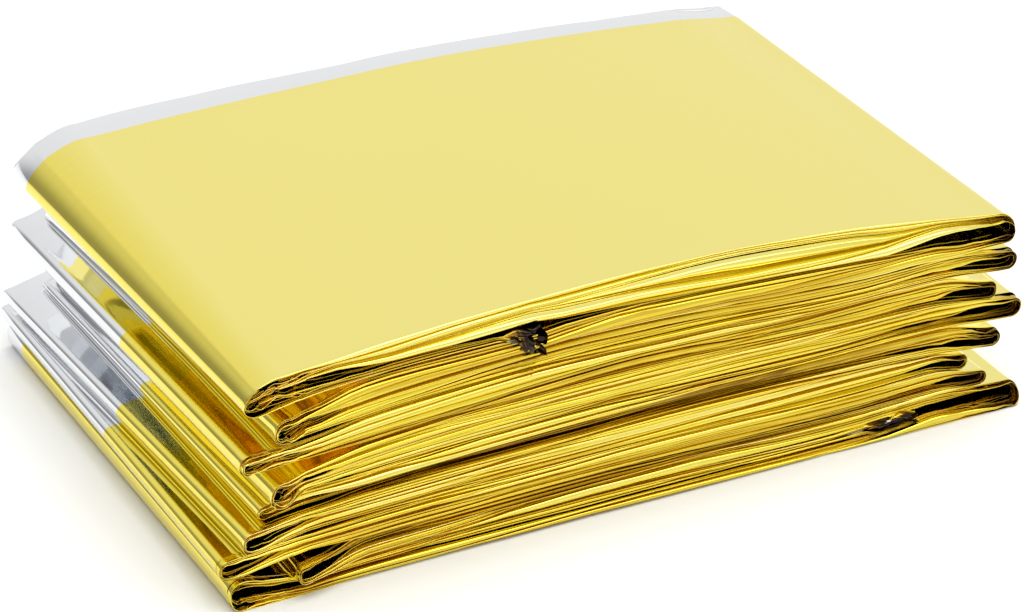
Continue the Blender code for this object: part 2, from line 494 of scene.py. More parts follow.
    def leaving(self, end: np.ndarray, neck: tuple) -> tuple[float, float, float]:
        """Where the panel leaves the fold: (x, z, slope), aimed almost straight at the neck."""
        slope = self.straightness * (neck[1] - end[1]) / (neck[0] - end[0])
        return (float(end[0]), float(end[1]), float(slope))

    def panel_line(self, row: tuple, back_share: float) -> np.ndarray:
        """The panel's middle line from left to right, with its part of the fold at each end.

        Args:
            row: a row of the strip's order.
            back_share: the share of the depth, from 0 at the front to 1 at the rear.

        Returns:
            An array of [point][x, z].
        """
        name, left_fold, right_fold = row
        heights = self.heights(row, back_share)
        knots = list(zip(self.stations, heights, self.slopes(heights)))
        steps = [self.left_neck_steps]
        spans = np.diff(self.stations)
        steps += [math.ceil(spans[0] / self.first_step)]
        steps += [math.ceil(span / self.span_step) for span in spans[1:]]
        nose = self.turn(name, self.folds[left_fold], back_share)
        knots.insert(0, self.leaving(nose[-1], knots[0]))
        parts = [nose[:-1]]
        if right_fold is not None:
            nose = self.turn(name, self.folds[right_fold], back_share)[::-1]
            knots.append(self.leaving(nose[0], knots[-1]))
            steps.append(self.right_neck_steps)
        for start, end, count in zip(knots[:-1], knots[1:], steps):
            parts.append(self.eased(start, end, count)[:-1])
        if right_fold is not None:
            return np.concatenate(parts + [nose])
        line = np.concatenate(parts)
        end_x = self.flap_ends[name]
        kept = line[line[:, 0] < end_x - self.flap_tail]
        x = np.concatenate([kept[:, 0], np.linspace(kept[-1, 0] + self.tail_step, end_x, self.tail_points)])
        return np.stack([x, np.interp(x, line[:, 0], line[:, 1])], axis=1)

    def lay(self, back_share: float) -> np.ndarray:
        """The whole strip's middle line in X and Z, at a share of the depth from front to back.

        Args:
            back_share: the share of the depth, from 0 at the front to 1 at the rear.

        Returns:
            An array of [place][x, z] along the strip.
        """
        parts = []
        for place, row in enumerate(self.order()):
            line = self.panel_line(row, back_share)
            parts.append(line[:-1] if place % 2 == 1 else line[::-1][:-1])
        return np.concatenate(parts + [line[-1:]])

    def panel_numbers(self) -> np.ndarray:
        """The place in the strip's order of the panel that each point belongs to.

        Returns:
            One whole number for each place along the strip.
        """
        counts = [len(self.panel_line(row, 0.0)) - 1 for row in self.order()]
        counts[-1] += 1
        return np.repeat(np.arange(len(counts)), counts)

    def left_of(self, line: np.ndarray) -> np.ndarray:
        """The unit direction to the left of the line at each point.

        Args:
            line: the points, as [place][x, z].

        Returns:
            The directions, as [place][x, z].
        """
        step = np.diff(line, axis=0)
        step = step / np.linalg.norm(step, axis=1)[:, None]
        along = np.concatenate([step[:1], step[:-1] + step[1:], step[-1:]])
        along = along / np.linalg.norm(along, axis=1)[:, None]
        return np.stack([-along[:, 1], along[:, 0]], axis=1)

    def nearness(self) -> np.ndarray:
        """How near each point is to a fold: 1 outside the necks, fading to 0 between them."""
        x = self.front[:, 0]
        return 1.0 - beyond(x, self.left_fade) * before(x, self.right_fade)

    def growing(self) -> np.ndarray:
        """How far the strip has thickened at each point: 0 in a fold and 1 between the necks.

        Returns:
            One share for each place along the strip.
        """
        x = self.front[:, 0]
        grown = np.ones(len(x))
        for number, row in enumerate(self.order()):
            for fold in (self.folds[name] for name in filter(None, row[1:])):
                there = (self.panel_at == number) & ((x < MIDDLE_X) == (fold.side is Side.LEFT))
                inwards = (x[there] - fold.front.tip) * fold.side.value - self.bend
                grown[there] = np.clip(inwards / fold.taper, 0.0, 1.0)
        return grown

    def openings(self) -> tuple:
        """The room for each leg inside the nearest fold, and which side of the strip is outside it.

        Returns:
            The room's height at each point; 1 where the strip's left side is the fold's outer one and
            -1 where its right side is, both fading to 0 between the necks; whether the point is on
            the fold's upper leg; how far the fold's front and rear edges stand in; and the leg's
            share of the room and how much of it the loose layers fill.
        """
        x = self.front[:, 0]
        opening, outer, front_inset, rear_inset, looseness = np.zeros((5, len(x)))
        leg_share = np.full(len(x), 0.5)
        above = np.zeros(len(x), dtype=bool)
        for number, row in enumerate(self.order()):
            for fold_name in filter(None, row[1:]):
                fold = self.folds[fold_name]
                mate = [other[0] for other in self.order() if fold_name in other and other[0] != row[0]][0]
                own, facing = self.lines[row[0]], self.lines[mate]
                there = (self.panel_at == number) & ((x < MIDDLE_X) == (fold.side is Side.LEFT))
                gap = np.interp(x, own[:, 0], own[:, 1]) - np.interp(x, facing[:, 0], facing[:, 1])
                upper = self.upward(row[0], fold) > 0.0
                leg_share[there] = fold.upper_share if upper else 1.0 - fold.upper_share
                looseness[there] = fold.looseness
                opening[there] = np.abs(gap[there]) * leg_share[there]
                clockwise = fold.side is Side.RIGHT or fold_name in FLAP_FOLDS
                outer[there] = 1.0 if clockwise else -1.0
                above[there] = upper
                front_inset[there] = fold.front_inset
                rear_inset[there] = fold.rear_inset
        insets = (front_inset * self.near, rear_inset * self.near)
        return opening, outer * self.near, above, insets, leg_share, looseness

    def reach(self, up: bool) -> np.ndarray:
        """How far the strip's upper or lower face stands off its line at each point.

        Between the necks a panel reaches to its boundary with the next panel, and near a fold over
        its share of the room inside the fold. In the fold the strip thins to its thinnest.

        Args:
            up: whether the upper face is meant, or the lower one.

        Returns:
            The distance at each place along the strip, in millimetres.
        """
        x = self.front[:, 0]
        half = self.nose_thickness / 2.0
        reach = np.zeros(len(x))
        for number, row in enumerate(self.order()):
            here = self.panel_at == number
            inner = np.minimum(self.fill * self.opening[here], self.thickest_pair * self.leg_share[here])
            leg = np.where(self.above[here] == up, half, inner)
            reach[here] = self.room(row[0], x[here], up) * (1.0 - self.near[here]) + leg * self.near[here]
        return half + np.maximum(reach - half, 0.0) * self.growth

    def room(self, name: str, x: np.ndarray, up: bool) -> np.ndarray:
        """How far the panel may reach up or down from its line before it meets the next one.

        The boundary shares the gap between the two panels out by their shares of the stack. The
        line of the packet's top and bottom panels lies just inside the packet's own face.

        Args:
            name: the panel.
            x: the places along the packet.
            up: whether upwards or downwards.

        Returns:
            The distance at each place, in millimetres.
        """
        half = self.nose_thickness / 2.0
        if name == OUTER_PANELS[0 if up else 1]:
            return np.full(len(x), half)
        names = [panel.name for panel in PANELS]
        z = np.interp(x, self.lines[name][:, 0], self.lines[name][:, 1])
        inside, weight = self.weighing(name, x)
        reach = np.full(len(x), np.nan)
        onward = -1 if up else 1
        place = names.index(name) + onward
        while 0 <= place < len(names):
            line = self.lines[names[place]]
            other_inside, other_weight = self.weighing(names[place], x)
            gap = np.abs(np.interp(x, line[:, 0], line[:, 1]) - z) + inside + other_inside
            there = np.isnan(reach) & (x <= self.flap_ends.get(names[place], math.inf))
            own = gap * weight / (weight + other_weight) - inside
            if {name, names[place]} == {"panel_1", "flap_top"}:
                own -= self.wedge / 2.0 * np.clip(1.0 - (self.flap_top_end - x) / self.wedge_length, 0.0, 1.0)
            if {name, names[place]} == {"panel_1", "panel_2"}:
                step = self.step * np.clip(1.0 - (x - self.flap_top_end) / self.step_length, 0.0, 1.0)
                own += step if name == "panel_2" else -step
            reach[there] = own[there]
            place += onward
        fill = self.flap_fill if name in self.flap_ends else self.fill
        return np.clip(reach * fill, self.least_reach, weight * self.most_reach)

    def weighing(self, name: str, x: np.ndarray) -> tuple[float, np.ndarray]:
        """How far a panel's line lies inside the packet's own face, and its weight in sharing a gap.

        Args:
            name: the panel.
            x: the places along the packet.

        Returns:
            The distance in millimetres, and a weight for each place.
        """
        panel = self.panels[name]
        rightness = np.interp(x, self.stations, self.rightness)
        share = panel.left_share + (panel.right_share - panel.left_share) * rightness
        return (self.nose_thickness / 2.0, share) if name in OUTER_PANELS else (0.0, share / 2.0)


@dataclass
class Pleats:
    """The twenty layers of film that lie in the strip, joined by folds at its front and rear edges.

    Odd layers carry the gold side on the strip's left. Lengths are in millimetres. A wave is the
    size of a random curve and its wavelength, and a fade is the place in X where it begins and its
    length. The splay of the two crumpled cut ends has a value for the upper and one for the lower.
    """

    path: StripPath
    layers: int = 20

    # The rows across the film: places from the front edge, and angles round the folds.
    free_edge: float = 77.3
    last_edge: float = 41.3
    outer_rows: tuple = (0.7, 1.8, 4.5, 8.0, 18.0, 30.0, 41.3, 53.0, 65.0, 74.0, 77.3)
    inner_rows: tuple = (1.8, 7.0, 76.0)
    front_angles: tuple = (-90.0, -62.0, -32.0, 0.0, 32.0, 62.0, 90.0)
    rear_angles: tuple = (-90.0, -45.0, 0.0, 45.0, 90.0)
    slant: float = 1.5
    slant_fade: tuple = (75.0, 55.0)
    settle: float = 8.0
    draw: float = 12.0

    # How the thickness is shared out, and how the folds stand.
    least_gap: float = 0.02
    tightest: float = 0.7
    within_fold: float = 0.02
    unevenness: tuple = ((3.2, 42.0), (0.3, 11.0))
    lone_bias: float = -6.0
    gap_wave: tuple = (2.6, 16.0)
    tuck: float = 1.3
    pinch: float = 9.0
    tuck_wander: tuple = (0.05, 9.0)
    tilt: tuple = ((0.7, 28.0), (0.25, 7.0))
    roundness: float = 1.0
    longest_arc: float = 0.6
    most_tilted: float = 0.5
    front_wander: tuple = (0.12, 18.0)
    rear_wander: tuple = (0.3, 23.0)
    inset_loss: float = 0.7
    bevel: float = 3.9
    bevel_rise: tuple = (8.0, 50.0)
    bevel_fall: tuple = (160.0, 85.0)
    right_fade: tuple = (75.0, 30.0)
    ease_points: int = 25

    # The loose layers in the end folds, and the crumpled cut ends.
    crush_wave: tuple = (0.5, 1.4)
    crush_growth: float = 3.0
    ragged: float = 0.5
    ragged_base: float = 0.5
    ragged_wave: tuple = (0.5, 6.0)
    torn_wave: tuple = (0.35, 1.1)
    flare: float = 0.12
    flare_depth: float = 3.2
    splay_lengths: tuple = (7.0, 14.0)
    splay_out: tuple = (3.0, 1.0)
    splay_out_wave: tuple = (1.0, 1.3)
    splay_lift: tuple = (2.8, 0.8)
    splay_lift_wave: tuple = (1.0, 2.2)
    splay_bias: tuple = (1.6, 0.3)

    # Painted shade and painted highlight in the film's colour, a darker colour at the cut ends and a
    # random tone: a share of full depth, with its fades.
    front_painted_shade: float = 0.4
    tint_wave: tuple = (0.28, 36.0)
    tuck_painted_shade: float = 0.3
    splay_tint: float = 1.5
    left_tint: float = -0.3
    left_tint_fade: tuple = (14.0, 8.0)
    nose_painted_shade: float = 0.55
    nose_painted_shade_fade: tuple = (7.0, 6.0)
    bend_painted_shade: float = 0.22
    bend_painted_shade_fade: tuple = (6.0, 5.0)
    outer_tint_depth: float = 0.4
    inner_tint_depth: float = 7.0

    def __post_init__(self) -> None:
        """Shares the strip's thickness out between the folds at both edges."""
        rng = np.random.default_rng(SEED)
        run = self.path.run
        pairs = self.layers // 2
        ends = self.cut_ends()
        self.splay = ends.sum(axis=0)
        self.front_tops, self.front_tuck = self.edge_shares(rng, run, np.zeros(pairs))
        lone = np.array([self.lone_bias] + [0.0] * (pairs - 1) + [self.lone_bias])
        self.rear_tops, self.rear_tuck = self.edge_shares(rng, run, lone)
        self.front_tilt = waves(rng, run, self.tilt, pairs)
        self.gaps = self.gap_shares(rng, run, pairs)
        self.inset = self.front_inset(rng, run)
        self.rear_inset = self.path.insets[1] + wander(rng, run, self.rear_wander, 1)[0]
        self.depth = self.inwardness(pairs)
        crush_growth = np.minimum(self.crush_growth * self.depth, 1.0)
        self.crushed = facets(rng, run, self.crush_wave, pairs) * crush_growth
        ragged = self.ragged_base + waves(rng, run, (self.ragged_wave,), pairs)
        ragged = self.depth * (ragged + facets(rng, run, self.torn_wave, pairs))
        self.front_tuck = self.front_tuck + self.ragged * self.path.near * np.maximum(ragged, 0.0)
        self.tint = self.tints(rng, run, pairs)
        self.front_tuck = self.front_tuck + self.bevels(pairs)
        self.spread_out = np.abs(facets(rng, run, self.splay_out_wave, pairs))
        self.spread_out = self.spread_out * (np.array(self.splay_out) @ ends)
        self.spread_lift = facets(rng, run, self.splay_lift_wave, self.layers + 1)
        self.spread_lift = self.spread_lift * (np.array(self.splay_lift) @ ends)
        self.spread_lift += np.array(self.splay_bias) @ ends

    def from_tip(self, side: Side) -> np.ndarray:
        """How far in from its fold's tip each place lies at one end of the packet.

        Args:
            side: the end of the packet.

        Returns:
            The distance in millimetres, and infinity at the other end of the packet.
        """
        x = self.path.front[:, 0]
        inwards = np.full(len(x), math.inf)
        for number, row in enumerate(self.path.order()):
            name = row[1 if side is Side.LEFT else 2]
            here = (self.path.panel_at == number) & ((x < MIDDLE_X) == (side is Side.LEFT))
            if name is not None:
                inwards[here] = (x[here] - self.path.folds[name].front.tip) * side.value
        return inwards

    def tints(self, rng: np.random.Generator, run: np.ndarray, count: int) -> np.ndarray:
        """The depth of the colour in each front fold: painted shade at the front edge and deeper painted
        shade where tucked in and in the right folds' tips, painted highlight near the left end, each
        panel's painted shade or highlight, a darker colour at the cut ends and a random tone.

        Args:
            rng: the source of the random curves.
            run: the distance along the strip at each place.
            count: how many front folds there are.

        Returns:
            The depth as [fold][place], where 1 is a full depth.
        """
        x = self.path.front[:, 0]
        # Each panel's shade: painted shade where positive, painted highlight where negative; the painted
        # shade fades towards the right end.
        of_panel = np.array([self.path.panels[row[0]].shade for row in self.path.order()])
        of_panel = of_panel[self.path.panel_at]
        of_panel = self.eased(of_panel - np.maximum(of_panel, 0.0) * self.rightness())
        # Painted shade at the pleated front edge, for light passed between the pleats, with each panel's
        # painted shade or painted highlight and a random tone.
        tint = self.front_painted_shade + of_panel + waves(rng, run, (self.tint_wave,), count)
        # Painted shade on folds tucked back into the stack; the crumpled cut ends are drawn darker too.
        tucked = np.minimum(self.front_tuck / self.tuck, 1.0)
        tint = tint + self.tuck_painted_shade * tucked + self.splay_tint * self.splay
        # Painted highlight: the colour is drawn lighter near the packet's left end.
        tint = tint + self.left_tint * before(x, self.left_tint_fade)
        # Painted shade in the tips of the right folds.
        return tint + self.nose_painted_shade * before(self.from_tip(Side.RIGHT), self.nose_painted_shade_fade)

    def eased(self, steps: np.ndarray) -> np.ndarray:
        """Values that step from panel to panel, eased over the points near each step.

        Args:
            steps: one value for each place along the strip.

        Returns:
            As many eased values.
        """
        kernel = np.hanning(self.ease_points)
        padded = np.pad(steps, self.ease_points // 2, mode="edge")
        return np.convolve(padded, kernel / kernel.sum(), mode="valid")

    def bevels(self, count: int) -> np.ndarray:
        """How far back each front fold of the packet's top panel stands: the further, the higher it is.

        Args:
            count: how many front folds there are.

        Returns:
            The distance as [fold][place].
        """
        x = self.path.front[:, 0]
        setback = self.bevel * beyond(x, self.bevel_rise) * before(x, self.bevel_fall)
        on_top = self.eased((self.path.panel_at == 1).astype(float))
        return np.linspace(1.0, 0.0, count)[:, None] * setback * on_top

    def rightness(self) -> np.ndarray:
        """How near each place is to the packet's right end: from 0 in the middle to 1."""
        return beyond(self.path.front[:, 0], self.right_fade)

    def cut_ends(self) -> np.ndarray:
        """How far into the upper and the lower crumpled cut end each place lies: 1 at the end.

        Returns:
            The upper end's shares and the lower end's, as [end][place].
        """
        run = self.path.run
        return np.array([1.0 - smooth(reach / length)
                         for reach, length in zip((run, run[-1] - run), self.splay_lengths)])

    def front_inset(self, rng: np.random.Generator, run: np.ndarray) -> np.ndarray:
        """How far the strip's front edge stands in: its panel's inset and a slow wander.

        Args:
            rng: the source of the random curves.
            run: the distance along the strip at each place.

        Returns:
            The distance at each place, in millimetres.
        """
        of_panel = np.array([self.path.panels[row[0]].inset for row in self.path.order()])
        spread = np.array([self.path.panels[row[0]].spread for row in self.path.order()])
        inset = self.eased(of_panel[self.path.panel_at] - spread[self.path.panel_at] * self.rightness())
        inset = np.where(inset > 0.0, inset * (1.0 - self.inset_loss * self.path.near), inset)
        return inset + self.path.insets[0] + wander(rng, run, self.front_wander, 1)[0]

    def edge_shares(self, rng: np.random.Generator, run: np.ndarray, bias: np.ndarray) -> tuple:
        """Shares an edge of the strip out between its folds.

        The share of each fold is the exponential of a smooth random curve, so that a few folds
        are wide and the others are pinched between them. A pinched fold is tucked further in.

        Args:
            rng: the source of the random curves.
            run: the distance along the strip.
            bias: what is added to each fold's curve.

        Returns:
            The folds' boundaries across the thickness, from 0 to 1, and how far each is tucked in.
        """
        count = len(bias)
        weight = np.exp(waves(rng, run, self.unevenness, count) + bias[:, None])
        share = weight / weight.sum(axis=0)
        tops = np.concatenate([np.zeros((1, len(run))), np.cumsum(share, axis=0)])
        tuck = self.tuck * np.exp(-self.pinch * share) + wander(rng, run, self.tuck_wander, count)
        return tops, tuck

    def gap_shares(self, rng: np.random.Generator, run: np.ndarray, count: int) -> np.ndarray:
        """How the room inside a fold is shared out between the pairs of layers that hang loose in it.

        Args:
            rng: the source of the random curves.
            run: the distance along the strip at each place.
            count: how many pairs of layers there are.

        Returns:
            How much of the room lies between each pair of layers and the first, from 0 to 1.
        """
        weight = np.exp(waves(rng, run, (self.gap_wave,), count - 1))
        share = weight / weight.sum(axis=0)
        return np.concatenate([np.zeros((1, len(run))), np.cumsum(share, axis=0)])

    def inwardness(self, count: int) -> np.ndarray:
        """How far inside the nearest fold each pair of layers lies, from 0 to 1."""
        from_left = (np.arange(count) / (count - 1.0))[:, None]
        return np.where(self.path.outer > 0.0, from_left, 1.0 - from_left)

    def across(self, layer: int, tops: np.ndarray | None, shift: int) -> np.ndarray:
        """How far from the strip's left face the layer lies, in millimetres.

        Every layer keeps a least distance from the next, and the rest of the thickness is shared
        out by the folds' boundaries. For the arguments see lift.

        Args:
            layer: the layer's number, from 1 on the left side.
            tops: the folds' boundaries at the edge, or None away from the edges.
            shift: 0 where the layers are paired from the first, 1 where from the second.

        Returns:
            The distance at each place along the strip.
        """
        thickness = self.path.thickness
        least = np.minimum(self.least_gap, self.tightest * thickness / self.layers)
        share = (layer - 0.5) / self.layers
        if tops is not None:
            fold = (layer - 1 + shift) // 2
            within = self.within_fold if (layer + shift) % 2 == 1 else 1.0 - self.within_fold
            if shift == 1 and layer in (1, self.layers):
                within = 0.5
            share = tops[fold] + (tops[fold + 1] - tops[fold]) * within
        return least * (layer - 0.5) + (thickness - least * self.layers) * share

    def lift(self, layer: int, tops: np.ndarray | None, shift: int) -> np.ndarray:
        """How far the layer lies off the strip's line to its left.

        Inside a fold the pairs of layers also hang loose, and are crushed at the front edge.

        Args:
            layer: the layer's number, from 1 on the left side.
            tops: the folds' boundaries at the edge, or None away from the edges.
            shift: 0 where the layers are paired from the first, 1 where from the second.

        Returns:
            The distance at each place along the strip, in millimetres.
        """
        path = self.path
        pair = (layer - 1) // 2
        slack = np.maximum(path.looseness * path.opening - (path.thickness - path.nose_thickness / 2.0), 0.0)
        loose = self.gaps[pair]
        if tops is not None and shift == 0:
            loose = loose + np.sign(path.outer) * self.crushed[pair]
        loose = np.clip(loose, 0.0, 1.0)
        moved = np.where(path.outer > 0.0, -loose, 1.0 - loose) * slack * path.near
        return path.thickness / 2.0 - self.across(layer, tops, shift) + path.offset + moved

    def at_front(self, layer: int) -> np.ndarray:
        """The layer's lift at the front edge."""
        return self.lift(layer, self.front_tops, 0) + self.spread_lift[layer]

    def at_rear(self, layer: int) -> np.ndarray:
        """The layer's lift at the rear edge."""
        return self.lift(layer, self.rear_tops, 1)

    def rows(self) -> tuple[np.ndarray, np.ndarray, np.ndarray]:
        """Every row of points across the film, from the free edge on the gold side.

        Returns:
            The rows' places in Y, their lifts off the strip's middle line and the depth of the colour
            there, painted shade and painted highlight with a random tone, as [row][place].
        """
        y_rows, lift_rows, tint_rows = [], [], []
        count = len(self.path.run)
        # Painted shade on the film in the left folds, away from the front edge.
        painted_shade_in_bends = self.bend_painted_shade * before(self.from_tip(Side.LEFT), self.bend_painted_shade_fade)
        for layer in range(1, self.layers + 1):
            made = [self.flat_rows(layer)]
            if layer < self.layers:
                made.append(self.turn_rows(layer))
            for y_part, lift_part in made:
                y_rows += [np.broadcast_to(row, count) for row in y_part]
                lift_rows += lift_part
                tint = self.tint[(layer - 1) // 2]
                # How far in from the front edge the fold's painted shade reaches.
                depth = self.outer_tint_depth if layer in (1, self.layers) else self.inner_tint_depth
                reach = [np.clip(1.0 - (row - self.inset) / depth, 0.0, 1.0) for row in y_part]
                tint_rows += [np.broadcast_to(share * tint + (1.0 - share) * painted_shade_in_bends, count) for share in reach]
        return np.array(y_rows), np.array(lift_rows), np.array(tint_rows)

    def flat_rows(self, layer: int) -> tuple[list, list]:
        """The rows of one layer between its folds, with the free edges where it has them.

        Args:
            layer: the layer's number, from 1 on the left side.

        Returns:
            The rows' places in Y and their lifts, each as a list of arrays.
        """
        places = self.outer_rows if layer in (1, self.layers) else self.inner_rows
        limit = {1: self.free_edge, self.layers: self.last_edge}.get(layer, DEPTH)
        places = [place for place in places if place <= limit]
        if layer % 2 == 1:
            places = places[::-1]
        start = self.inset + self.arc((layer - 1) // 2)
        y_rows, lift_rows = [], []
        for place in places:
            near_front = 1.0 - float(smooth(np.array(place / self.settle)))
            near_rear = 1.0 - float(smooth(np.array((DEPTH - place) / self.settle)))
            lift = self.lift(layer, None, 0) * (1.0 - near_front - near_rear)
            lift = lift + self.at_front(layer) * near_front + self.at_rear(layer) * near_rear
            y = place + start * max(1.0 - place / self.draw, 0.0) - self.rear_inset * near_rear
            if place == self.free_edge:
                y = y - self.slant * before(self.path.front[:, 0], self.slant_fade)
            lift = lift + self.path.outer * self.flare * np.maximum(1.0 - y / self.flare_depth, 0.0)
            y_rows.append(y)
            lift_rows.append(lift)
        return y_rows, lift_rows

    def arc(self, pair: int) -> np.ndarray:
        """How far in from the front edge a fold's arc begins.

        Args:
            pair: the fold's number, from 0 on the left side.

        Returns:
            The distance at each place along the strip, in millimetres.
        """
        upper, lower = (self.lift(2 * pair + number, self.front_tops, 0) for number in (1, 2))
        reach, skew = self.arc_size((upper - lower) / 2.0, pair)
        return self.front_tuck[pair] + 2.0 * np.abs(skew) + reach

    def arc_size(self, half: np.ndarray, pair: int) -> tuple:
        """A front fold's reach in Y and its skew, from half the distance between its two layers."""
        reach = np.minimum(self.roundness * np.abs(half), self.longest_arc)
        return reach, self.front_tilt[pair] * np.minimum(np.abs(half), self.most_tilted)

    def turn_rows(self, layer: int) -> tuple[list, list]:
        """The rows round the fold that joins a layer to the next: half an ellipse out to the edge.

        The ellipse is skewed, so that the fold's face tips up or down.

        Args:
            layer: the number of the fold's first layer.

        Returns:
            The rows' places in Y and their lifts, each as a list of arrays.
        """
        front = layer % 2 == 1
        near = self.at_front if front else self.at_rear
        top, low = near(layer), near(layer + 1)
        pair = (layer - 1) // 2 if front else layer // 2
        tuck = self.front_tuck[pair] if front else self.rear_tuck[pair]
        half = (top - low) / 2.0
        reach, skew = self.arc_size(half, pair if front else 0)
        skew = skew if front else 0.0
        y_rows, lift_rows = [], []
        for angle in self.front_angles if front else self.rear_angles:
            turn = math.radians(angle)
            inwards = tuck + np.abs(skew) + reach * (1.0 - math.cos(turn)) + skew * math.sin(turn)
            lift = (top + low) / 2.0 - half * math.sin(turn)
            if front:
                y_rows.append(self.inset + inwards - self.spread_out[pair])
                flare = np.maximum(1.0 - (self.inset + inwards) / self.flare_depth, 0.0)
                lift = lift + self.path.outer * self.flare * flare
            else:
                y_rows.append(DEPTH - self.rear_inset - inwards)
            lift_rows.append(lift)
        return y_rows, lift_rows


@dataclass
class FoilBlanket:
    """The film as a closed shell of its two sides, made in pieces that meet edge to edge.

    width is the whole sheet's, in metres, and is not used. The other lengths are in millimetres.
    """

    path: StripPath
    pleats: Pleats
    width: float = 1.60
    film: float = 0.012
    pieces: int = 5
    crease: float = 0.08
    crease_waves: tuple = ((0.4, 0.9), (1.0, 2.1))
    crease_fade: tuple = (8.0, 12.0)
    top_creases: float = 0.3
    ridge: float = 0.11
    ridge_place: float = 4.0
    ridge_width: float = 0.3

    def surface(self) -> tuple[np.ndarray, np.ndarray, np.ndarray]:
        """The middle surface of the film.

        Each point lies on the strip's middle line, which moves evenly from its front course to its
        rear one, and is lifted off it to the left by its place across the strip's thickness.
        Between the pleats' rows the film is creased lightly across the strip near the left folds.

        Returns:
            The points in millimetres, as [row][place][axis], the distance across the film and the depth
            of its colour, painted shade and painted highlight with a random tone.
        """
        y, lift, tint = self.pleats.rows()
        share = np.clip(y / DEPTH, 0.0, 1.0)
        line = self.path.front + (self.path.back - self.path.front) * share[..., None]
        normal = self.path.front_normal + (self.path.back_normal - self.path.front_normal) * share[..., None]
        flat = line + normal * (lift + self.creases())[..., None]
        z = np.maximum(flat[..., 1], self.film)
        points = np.stack([flat[..., 0] - MIDDLE_X, y - DEPTH / 2.0, z], axis=-1)
        step = np.linalg.norm(np.diff(points, axis=0), axis=2)
        across_film = np.concatenate([np.zeros((1, step.shape[1])), np.cumsum(step, axis=0)])
        return points, across_film, tint

    def creases(self) -> np.ndarray:
        """Fine folds across the strip, strongest in the left folds: a lift off the strip's line.

        One soft ridge more runs along the slope of the packet's upper left fold.

        Returns:
            The lift at each place along the strip, in millimetres.
        """
        rng = np.random.default_rng(SEED + 1)
        run = self.path.run
        x = self.path.front[:, 0]
        near = 1.0 - beyond(x, self.crease_fade)
        fine = waves(rng, run, self.crease_waves, 1)[0]
        top = self.path.panel_at == 1
        ridge = np.exp(-((x - self.ridge_place) / self.ridge_width) ** 2) * top
        return fine * self.crease * near * np.where(top, self.top_creases, 1.0) + self.ridge * ridge

    def normals(self, points: np.ndarray) -> np.ndarray:
        """The unit normal of the gold side at each point, from the rows' and places' directions.

        Args:
            points: the film's points, as [row][place][axis].

        Returns:
            The unit normals, as [row][place][axis].
        """
        along = np.gradient(points, axis=1)
        across = np.gradient(points, axis=0)
        normal = np.cross(across, along)
        return normal / np.maximum(np.linalg.norm(normal, axis=2), 1e-9)[..., None]

    def build(self) -> list[bpy.types.Object]:
        """Makes the pieces, from the strip's upper cut end to its lower one.

        Returns:
            The pieces' objects.
        """
        points, across_film, tint = self.surface()
        normal = self.normals(points)
        shell = [(points + normal * side * self.film / 2.0) * MM for side in (1.0, -1.0)]
        cuts = np.linspace(0, points.shape[1] - 1, self.pieces + 1).astype(int)
        made = []
        for number, (start, end) in enumerate(zip(cuts[:-1], cuts[1:]), 1):
            part = slice(start, end + 1)
            uv = np.stack(np.broadcast_arrays(self.path.run[part], across_film[:, part]), axis=-1) * MM
            piece = self.piece(f"foil_blanket_{number}", shell[0][:, part], shell[1][:, part], uv)
            # Painted shade and painted highlight at the folds, a darker colour at the cut ends and a random
            # tone, for both sides' colour.
            depth = piece.data.attributes.new("lacquer_depth", "FLOAT", "POINT")
            depth.data.foreach_set("value", np.tile(tint[:, part].ravel(), 2))
            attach(piece, "root")
            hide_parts("foil_blanket")
            made.append(piece)
        return made

    def piece(self, name: str, gold: np.ndarray, silver: np.ndarray, uv: np.ndarray) -> bpy.types.Object:
        """One closed shell from its two sides, each as [row][place][axis] in metres.

        Args:
            name: the piece's name.
            gold: the points of its gold side.
            silver: the points of its silver side.
            uv: each point's place on the flat sheet, in metres.

        Returns:
            The piece's object.
        """
        rows, places = gold.shape[:2]
        index = np.arange(rows * places * 2).reshape(2, rows, places)
        quads = [self.grid_quads(index[0], False), self.grid_quads(index[1], True)]
        rim = self.rim_quads(index)
        faces = np.concatenate(quads + [rim])
        corners = np.concatenate([gold.reshape(-1, 3), silver.reshape(-1, 3)])
        mesh = bpy.data.meshes.new(name)
        mesh.vertices.add(len(corners))
        mesh.vertices.foreach_set("co", corners.ravel())
        mesh.loops.add(faces.size)
        mesh.loops.foreach_set("vertex_index", faces.ravel().astype(np.int32))
        mesh.polygons.add(len(faces))
        mesh.polygons.foreach_set("loop_start", np.arange(0, faces.size, 4, dtype=np.int32))
        mesh.update(calc_edges=True)
        sides = np.full(len(faces), Skin.GOLD.value, dtype=np.int32)
        sides[len(quads[0]):len(quads[0]) + len(quads[1])] = Skin.SILVER.value
        for skin in Skin:
            mesh.materials.append(bpy.data.materials[skin.name.lower() + "_film"])
        mesh.polygons.foreach_set("material_index", sides)
        layer = mesh.uv_layers.new(name="film")
        doubled = np.concatenate([uv.reshape(-1, 2), uv.reshape(-1, 2)])
        layer.data.foreach_set("uv", doubled[faces.ravel()].ravel())
        self.mark_sharp(mesh, rows, places)
        mesh.validate()
        thing = bpy.data.objects.new(name, mesh)
        bpy.context.scene.collection.objects.link(thing)
        return thing

    def grid_quads(self, index: np.ndarray, turned: bool) -> np.ndarray:
        """The quads of one side, wound to face away from the film's middle and split the same way.

        Args:
            index: the numbers of the side's points, as [row][place].
            turned: whether the quads are wound the other way round.

        Returns:
            An array of [quad][corner].
        """
        quad = [index[:-1, :-1], index[1:, :-1], index[1:, 1:], index[:-1, 1:]]
        if turned:
            quad = quad[:1] + quad[:0:-1]
        return np.stack([corner.ravel() for corner in quad], axis=1)

